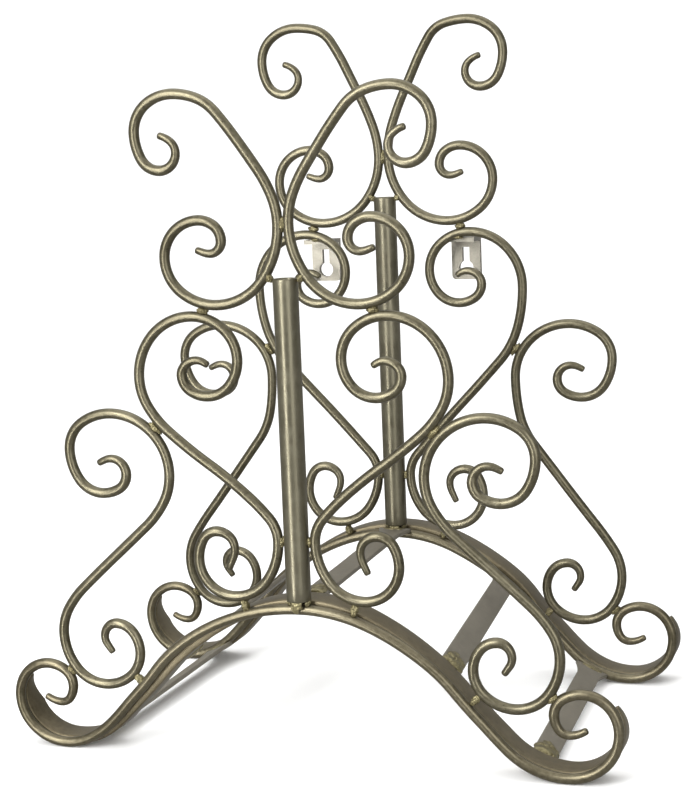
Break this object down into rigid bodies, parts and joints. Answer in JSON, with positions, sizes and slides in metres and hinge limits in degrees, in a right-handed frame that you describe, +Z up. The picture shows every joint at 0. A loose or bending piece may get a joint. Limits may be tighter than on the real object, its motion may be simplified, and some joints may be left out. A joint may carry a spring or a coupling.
{
  "type": "wall-mounted hose holder",
  "caption": "Scrolled wrought-iron wall holder: two open scroll panels joined by flat cross straps over an arch, hung on keyhole tabs to carry a coiled hose",
  "frame": {"origin": "on the ground under the middle of the holder", "axes": "+X along the panels, to the right seen from the front; +Y towards the wall; +Z up"},
  "size_m": [0.387, 0.2308, 0.4497],
  "materials": {
    "scroll_bar": "satin antique bronze lacquer over hammered bar",
    "arch_bar": "satin antique bronze lacquer",
    "flat_strip": "satin antique bronze lacquer",
    "post_tube": "satin antique bronze lacquer, drawn along the tube",
    "flat_strap": "satin antique pewter lacquer",
    "hanger_plate": "satin antique pewter lacquer",
    "weld_metal": "rough lacquered weld"
  },
  "bodies": {
    "root": {"front_c_scroll_right": "scroll_bar", "front_c_scroll_left": "scroll_bar", "front_middle_scroll_right": "scroll_bar", "front_middle_scroll_left": "scroll_bar", "front_outer_scroll_right": "scroll_bar", "front_outer_scroll_left": "scroll_bar", "front_arch_rod": "arch_bar", "front_arch_strip": "flat_strip", "front_post": "post_tube", "front_welds": "weld_metal", "back_c_scroll_right": "scroll_bar", "back_c_scroll_left": "scroll_bar", "back_middle_scroll_right": "scroll_bar", "back_middle_scroll_left": "scroll_bar", "back_outer_scroll_right": "scroll_bar", "back_outer_scroll_left": "scroll_bar", "back_arch_rod": "arch_bar", "back_arch_strip": "flat_strip", "back_post": "post_tube", "back_welds": "weld_metal", "cross_strap_middle": "flat_strap", "cross_strap_inner_right": "flat_strap", "cross_strap_inner_left": "flat_strap", "cross_strap_outer_right": "flat_strap", "cross_strap_outer_left": "flat_strap", "strap_welds": "weld_metal", "keyhole_tab_right": "hanger_plate", "keyhole_tab_left": "hanger_plate"}
  },
  "joints": []
}
